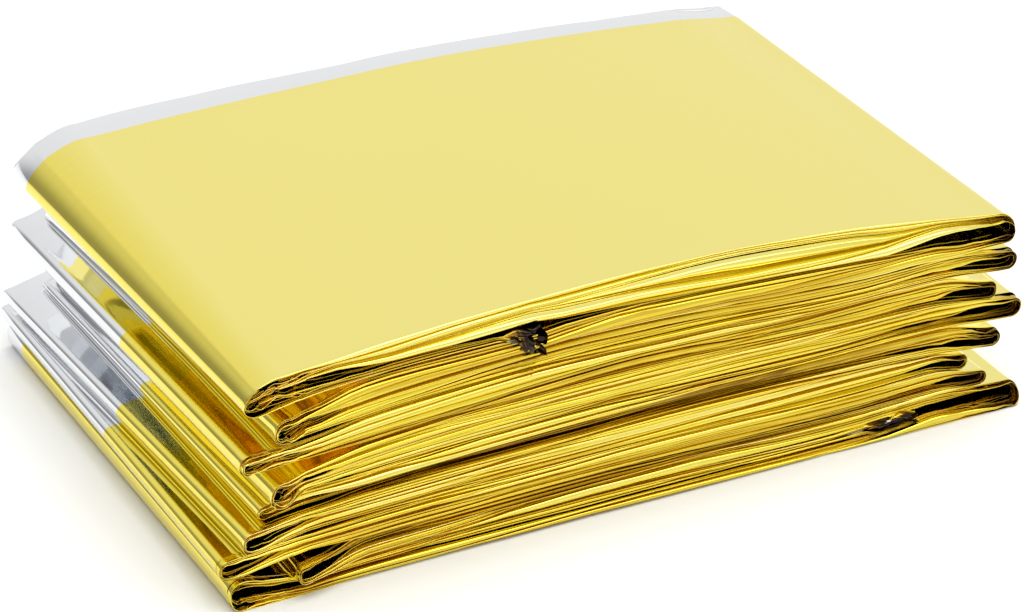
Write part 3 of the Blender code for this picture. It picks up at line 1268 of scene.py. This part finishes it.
    def rim_quads(self, index: np.ndarray) -> np.ndarray:
        """The quads that close the shell between the borders of its two sides.

        Args:
            index: the numbers of all points, as [side][row][place].

        Returns:
            An array of [quad][corner].
        """
        rows, places = index.shape[1:]
        order = [(0, place) for place in range(places)]
        order += [(row, places - 1) for row in range(1, rows)]
        order += [(rows - 1, place) for place in range(places - 2, -1, -1)]
        order += [(row, 0) for row in range(rows - 2, -1, -1)]
        at = np.array(order)
        gold, silver = index[0][at[:, 0], at[:, 1]], index[1][at[:, 0], at[:, 1]]
        return np.stack([gold[:-1], gold[1:], silver[1:], silver[:-1]], axis=1)

    def mark_sharp(self, mesh: bpy.types.Mesh, rows: int, places: int) -> None:
        """Marks the shell's cut edges sharp, so that its sides stay evenly lit up to them.

        Args:
            mesh: the piece's mesh.
            rows: how many rows its sides have.
            places: how many places each row has.
        """
        border = np.ones((2, rows, places), dtype=bool)
        border[:, 1:-1, 1:-1] = False
        border = border.ravel()
        ends = np.empty(len(mesh.edges) * 2, dtype=np.int32)
        mesh.edges.foreach_get("vertices", ends)
        ends = ends.reshape(-1, 2)
        sharp = border[ends[:, 0]] & border[ends[:, 1]]
        mesh.attributes.new("sharp_edge", "BOOLEAN", "EDGE").data.foreach_set("value", sharp)


def add_node(tree: bpy.types.NodeTree, kind: str, settings: dict | None = None,
             links: dict | None = None) -> bpy.types.Node:
    """Adds a node to a tree.

    Args:
        tree: the material's or world's node tree.
        kind: the node's type name.
        settings: values for the node's properties, or for its inputs where the key is an input.
        links: an output socket for each input to be linked.

    Returns:
        The new node.
    """
    node = tree.nodes.new(kind)
    for key, value in (settings or {}).items():
        if isinstance(key, str) and hasattr(node, key):
            setattr(node, key, value)
        else:
            node.inputs[key].default_value = value
    for key, socket in (links or {}).items():
        tree.links.new(socket, node.inputs[key])
    return node


def new_material(name: str) -> tuple[bpy.types.Material, bpy.types.NodeTree, bpy.types.Node]:
    """A material with its node tree, cleared but for the Principled BSDF, which is returned too.

    Args:
        name: the material's name.

    Returns:
        The material, its tree and its shader node.
    """
    material = bpy.data.materials.new(name)
    material.use_nodes = True
    return material, material.node_tree, material.node_tree.nodes["Principled BSDF"]


def per_metre(cell: tuple) -> tuple[float, float, float]:
    """The scale that gives a pattern cells of this length and width, in millimetres."""
    return (1.0 / (cell[0] * MM), 1.0 / (cell[1] * MM), 1.0)


@dataclass(frozen=True)
class FilmFinish:
    """Polyester film, 12 micrometres thick, with a vapour-deposited aluminium coat.

    To the eye it is a mirror that is slightly soft, because the film never lies quite flat. The gold
    side is the same coat seen through a yellow lacquer, whose smooth surface adds a clear gloss. Both
    sides take their colour from the shades by a value on each point: painted shade between the pleats,
    in recesses and in fold tips, painted highlight where lighter, a darker colour at the cut ends and a
    random tone. streak and wrinkle are the length and width of the coat's faint streaks and of the
    film's ripples, and ripple_depth is their height, all in millimetres. Real ripples are finer, and
    these are as coarse as they need to be to show.
    """

    name: str
    shades: tuple
    roughness: float
    lacquer: float
    ripple: float
    lacquer_roughness: float = 0.06
    streak: tuple = (16.667, 1.1111)
    wrinkle: tuple = (2.0, 11.111)
    ripple_depth: float = 0.05

    def build(self) -> bpy.types.Material:
        """Builds the finish on the film's own UV map, in metres along and across the sheet.

        Returns:
            The material.
        """
        material, tree, shader = new_material(self.name)
        uv = add_node(tree, "ShaderNodeUVMap", {"uv_map": "film"})
        # The painted shade, painted highlight and random tone laid on the film's points pick the colour from
        # the shades.
        depth = add_node(tree, "ShaderNodeAttribute", {"attribute_name": "lacquer_depth"})
        streaks = add_node(tree, "ShaderNodeMapping", {"Scale": per_metre(self.streak)},
                           {"Vector": uv.outputs["UV"]})
        cloud = add_node(tree, "ShaderNodeTexNoise", {"Scale": 1.0, "Detail": 3.0},
                         {"Vector": streaks.outputs["Vector"]})
        shade = add_node(tree, "ShaderNodeMath", {"operation": "MULTIPLY_ADD"},
                         {0: depth.outputs["Fac"], 1: cloud.outputs["Fac"], 2: depth.outputs["Fac"]})
        scaled = add_node(tree, "ShaderNodeMath", {"operation": "MULTIPLY", 1: 0.5, "use_clamp": True},
                          {0: shade.outputs["Value"]})
        colour = add_node(tree, "ShaderNodeValToRGB", links={"Fac": scaled.outputs["Value"]})
        stops = colour.color_ramp.elements
        stops[0].color = to_linear(self.shades[0][1])
        stops[1].color = to_linear(self.shades[-1][1])
        for place, code in self.shades[1:-1]:
            stops.new(place).color = to_linear(code)
        tree.links.new(colour.outputs["Color"], shader.inputs["Base Color"])
        shader.inputs["Metallic"].default_value = 1.0
        shader.inputs["Roughness"].default_value = self.roughness
        shader.inputs["Coat Weight"].default_value = self.lacquer
        shader.inputs["Coat Roughness"].default_value = self.lacquer_roughness
        wrinkles = add_node(tree, "ShaderNodeMapping", {"Scale": per_metre(self.wrinkle)},
                            {"Vector": uv.outputs["UV"]})
        ripples = add_node(tree, "ShaderNodeTexNoise", {"Scale": 1.0, "Detail": 2.0},
                           {"Vector": wrinkles.outputs["Vector"]})
        bump = add_node(tree, "ShaderNodeBump", {"Strength": self.ripple, "Distance": self.ripple_depth * MM},
                        {"Height": ripples.outputs["Fac"]})
        tree.links.new(bump.outputs["Normal"], shader.inputs["Normal"])
        return material


@dataclass(frozen=True)
class PaleBoard:
    """Matt white board under the packet: even, with no gloss and a mottle too faint to draw the eye.

    mottle is the size of the mottle's clouds in millimetres.
    """

    name: str = "pale_board"
    light: str = "#F4F4F2"
    deep: str = "#EFEFED"
    roughness: float = 0.9
    mottle: float = 111.111

    def build(self) -> bpy.types.Material:
        """Builds the finish on Object coordinates.

        Returns:
            The material.
        """
        material, tree, shader = new_material(self.name)
        place = add_node(tree, "ShaderNodeTexCoord")
        mottle = add_node(tree, "ShaderNodeTexNoise", {"Scale": 1.0 / (self.mottle * MM), "Detail": 3.0},
                          {"Vector": place.outputs["Object"]})
        colour = add_node(tree, "ShaderNodeMix", {"data_type": "RGBA"})
        colour.inputs[6].default_value = to_linear(self.light)
        colour.inputs[7].default_value = to_linear(self.deep)
        tree.links.new(mottle.outputs["Fac"], colour.inputs[0])
        tree.links.new(colour.outputs[2], shader.inputs["Base Color"])
        shader.inputs["Roughness"].default_value = self.roughness
        return material


# Pale gold and pale silver are the film's own colours; the darker stops, down to dark brown, are painted
# shade between the pleats, in recesses and in fold tips, and also colour the crumpled cut ends.
GOLD_SHADES = ((0.0, "#F6E880"), (0.225, "#EAD848"), (0.45, "#DDBF35"), (0.75, "#8F6A1A"), (1.0, "#22140A"))
SILVER_SHADES = ((0.0, "#EBECEE"), (0.375, "#DADDE0"), (0.75, "#5A5048"), (1.0, "#1C120A"))
FINISHES = (
    FilmFinish("gold_film", GOLD_SHADES, 0.05, 0.3, 0.1),
    FilmFinish("silver_film", SILVER_SHADES, 0.05, 0.0, 0.1),
    PaleBoard(),
)


@dataclass(frozen=True)
class Softbox:
    """A rectangular soft light that faces the packet. Angles in degrees, sizes in metres."""

    name: str
    azimuth: float
    elevation: float
    distance: float
    width: float
    height: float
    brightness: float

    def build(self) -> bpy.types.Object:
        """Makes the light. Azimuth is measured from +Y towards +X.

        Returns:
            The light's object.
        """
        area = bpy.data.lights.new(self.name, "AREA")
        area.shape = "RECTANGLE"
        area.size = self.width
        area.size_y = self.height
        area.energy = self.brightness * math.pi * self.width * self.height
        light = bpy.data.objects.new(self.name, area)
        turn, lift = math.radians(self.azimuth), math.radians(self.elevation)
        out = Vector((math.sin(turn) * math.cos(lift), math.cos(turn) * math.cos(lift), math.sin(lift)))
        light.location = out * self.distance
        light.rotation_mode = "QUATERNION"
        light.rotation_quaternion = out.to_track_quat("Z", "Y")
        bpy.context.scene.collection.objects.link(light)
        return light


@dataclass
class Studio:
    """The pale floor, the soft lights and the camera.

    Angles are in degrees and lengths in metres, but for the camera's lens and sensor, which are in
    millimetres. The wall's fade runs from wall_from to wall_full, as the cosine of the angle from
    its middle. bounces is how often light may pass between the pleats.
    """

    floor_size: float = 6.0
    surround: float = 0.36
    wall_light: float = 0.57
    wall_azimuth: float = 80.0
    wall_elevation: float = 30.0
    wall_from: float = -0.3
    wall_full: float = 0.09
    azimuth: float = -27.11
    elevation: float = 29.22
    roll: float = 0.08
    lens: float = 153.7
    sensor: float = 36.0
    clip_start: float = 0.01
    distance: float = 0.59195
    across: float = 0.03681
    above: float = 0.04130
    bounces: int = 16
    softboxes: tuple = (Softbox("overhead", 150.0, 84.0, 1.1, 1.2, 1.0, 2.7),)

    def build(self) -> None:
        """Builds all of it."""
        self.build_floor()
        self.build_world()
        for softbox in self.softboxes:
            softbox.build()
        self.build_camera()
        bpy.context.scene.view_settings.view_transform = "Standard"
        bpy.context.scene.cycles.max_bounces = self.bounces
        bpy.context.scene.cycles.glossy_bounces = self.bounces

    def build_floor(self) -> None:
        """A large plain board with its face at the packet's underside."""
        half = self.floor_size / 2.0
        mesh = bpy.data.meshes.new("floor")
        corners = [(-half, -half, 0.0), (half, -half, 0.0), (half, half, 0.0), (-half, half, 0.0)]
        mesh.from_pydata(corners, [], [(0, 1, 2, 3)])
        mesh.materials.append(bpy.data.materials["pale_board"])
        floor = bpy.data.objects.new("floor", mesh)
        bpy.context.scene.collection.objects.link(floor)

    def build_world(self) -> None:
        """A grey surround with a white wall behind the packet's right, which fades to the left."""
        world = bpy.data.worlds.new("studio")
        world.use_nodes = True
        tree = world.node_tree
        turn, lift = math.radians(self.wall_azimuth), math.radians(self.wall_elevation)
        wall = (math.sin(turn) * math.cos(lift), math.cos(turn) * math.cos(lift), math.sin(lift))
        place = add_node(tree, "ShaderNodeTexCoord")
        facing = add_node(tree, "ShaderNodeVectorMath", {"operation": "DOT_PRODUCT", 1: wall},
                          {0: place.outputs["Generated"]})
        light = add_node(tree, "ShaderNodeMapRange",
                         {"interpolation_type": "SMOOTHSTEP", "From Min": self.wall_from,
                          "From Max": self.wall_full, "To Min": self.surround,
                          "To Max": self.surround + self.wall_light}, {"Value": facing.outputs["Value"]})
        tree.links.new(light.outputs["Result"], tree.nodes["Background"].inputs["Strength"])
        tree.nodes["Background"].inputs["Color"].default_value = (1.0, 1.0, 1.0, 1.0)
        bpy.context.scene.world = world

    def build_camera(self) -> None:
        """The camera, in front of the packet's left end and above it."""
        turn, lift, roll = (math.radians(angle) for angle in (self.azimuth, self.elevation, self.roll))
        back = Vector((math.sin(turn) * math.cos(lift), -math.cos(turn) * math.cos(lift), math.sin(lift)))
        level = Vector((math.cos(turn), math.sin(turn), 0.0))
        upright = back.cross(level)
        right = level * math.cos(roll) + upright * math.sin(roll)
        up = upright * math.cos(roll) - level * math.sin(roll)
        corner = Vector((-MIDDLE_X * MM, -DEPTH / 2.0 * MM, 0.0))
        place = corner + back * self.distance + right * self.across + up * self.above
        camera_data = bpy.data.cameras.new("camera")
        camera_data.sensor_width = self.sensor
        camera_data.lens = self.lens
        camera_data.clip_start = self.clip_start
        camera = bpy.data.objects.new("camera", camera_data)
        turned = Matrix((right, up, back)).transposed().to_4x4()
        camera.matrix_world = Matrix.Translation(place) @ turned
        bpy.context.scene.collection.objects.link(camera)
        bpy.context.scene.camera = camera


def main() -> None:
    """Builds the finishes, the blanket and the studio."""
    logging.basicConfig(level=logging.INFO, format="%(message)s")
    for finish in FINISHES:
        finish.build()
    path = StripPath()
    log.info("strip: %.3f m long, %d points", path.run[-1] * MM, len(path.run))
    blanket = FoilBlanket(path, Pleats(path))
    blanket.build()
    Studio().build()


if __name__ == "__main__":
    main()
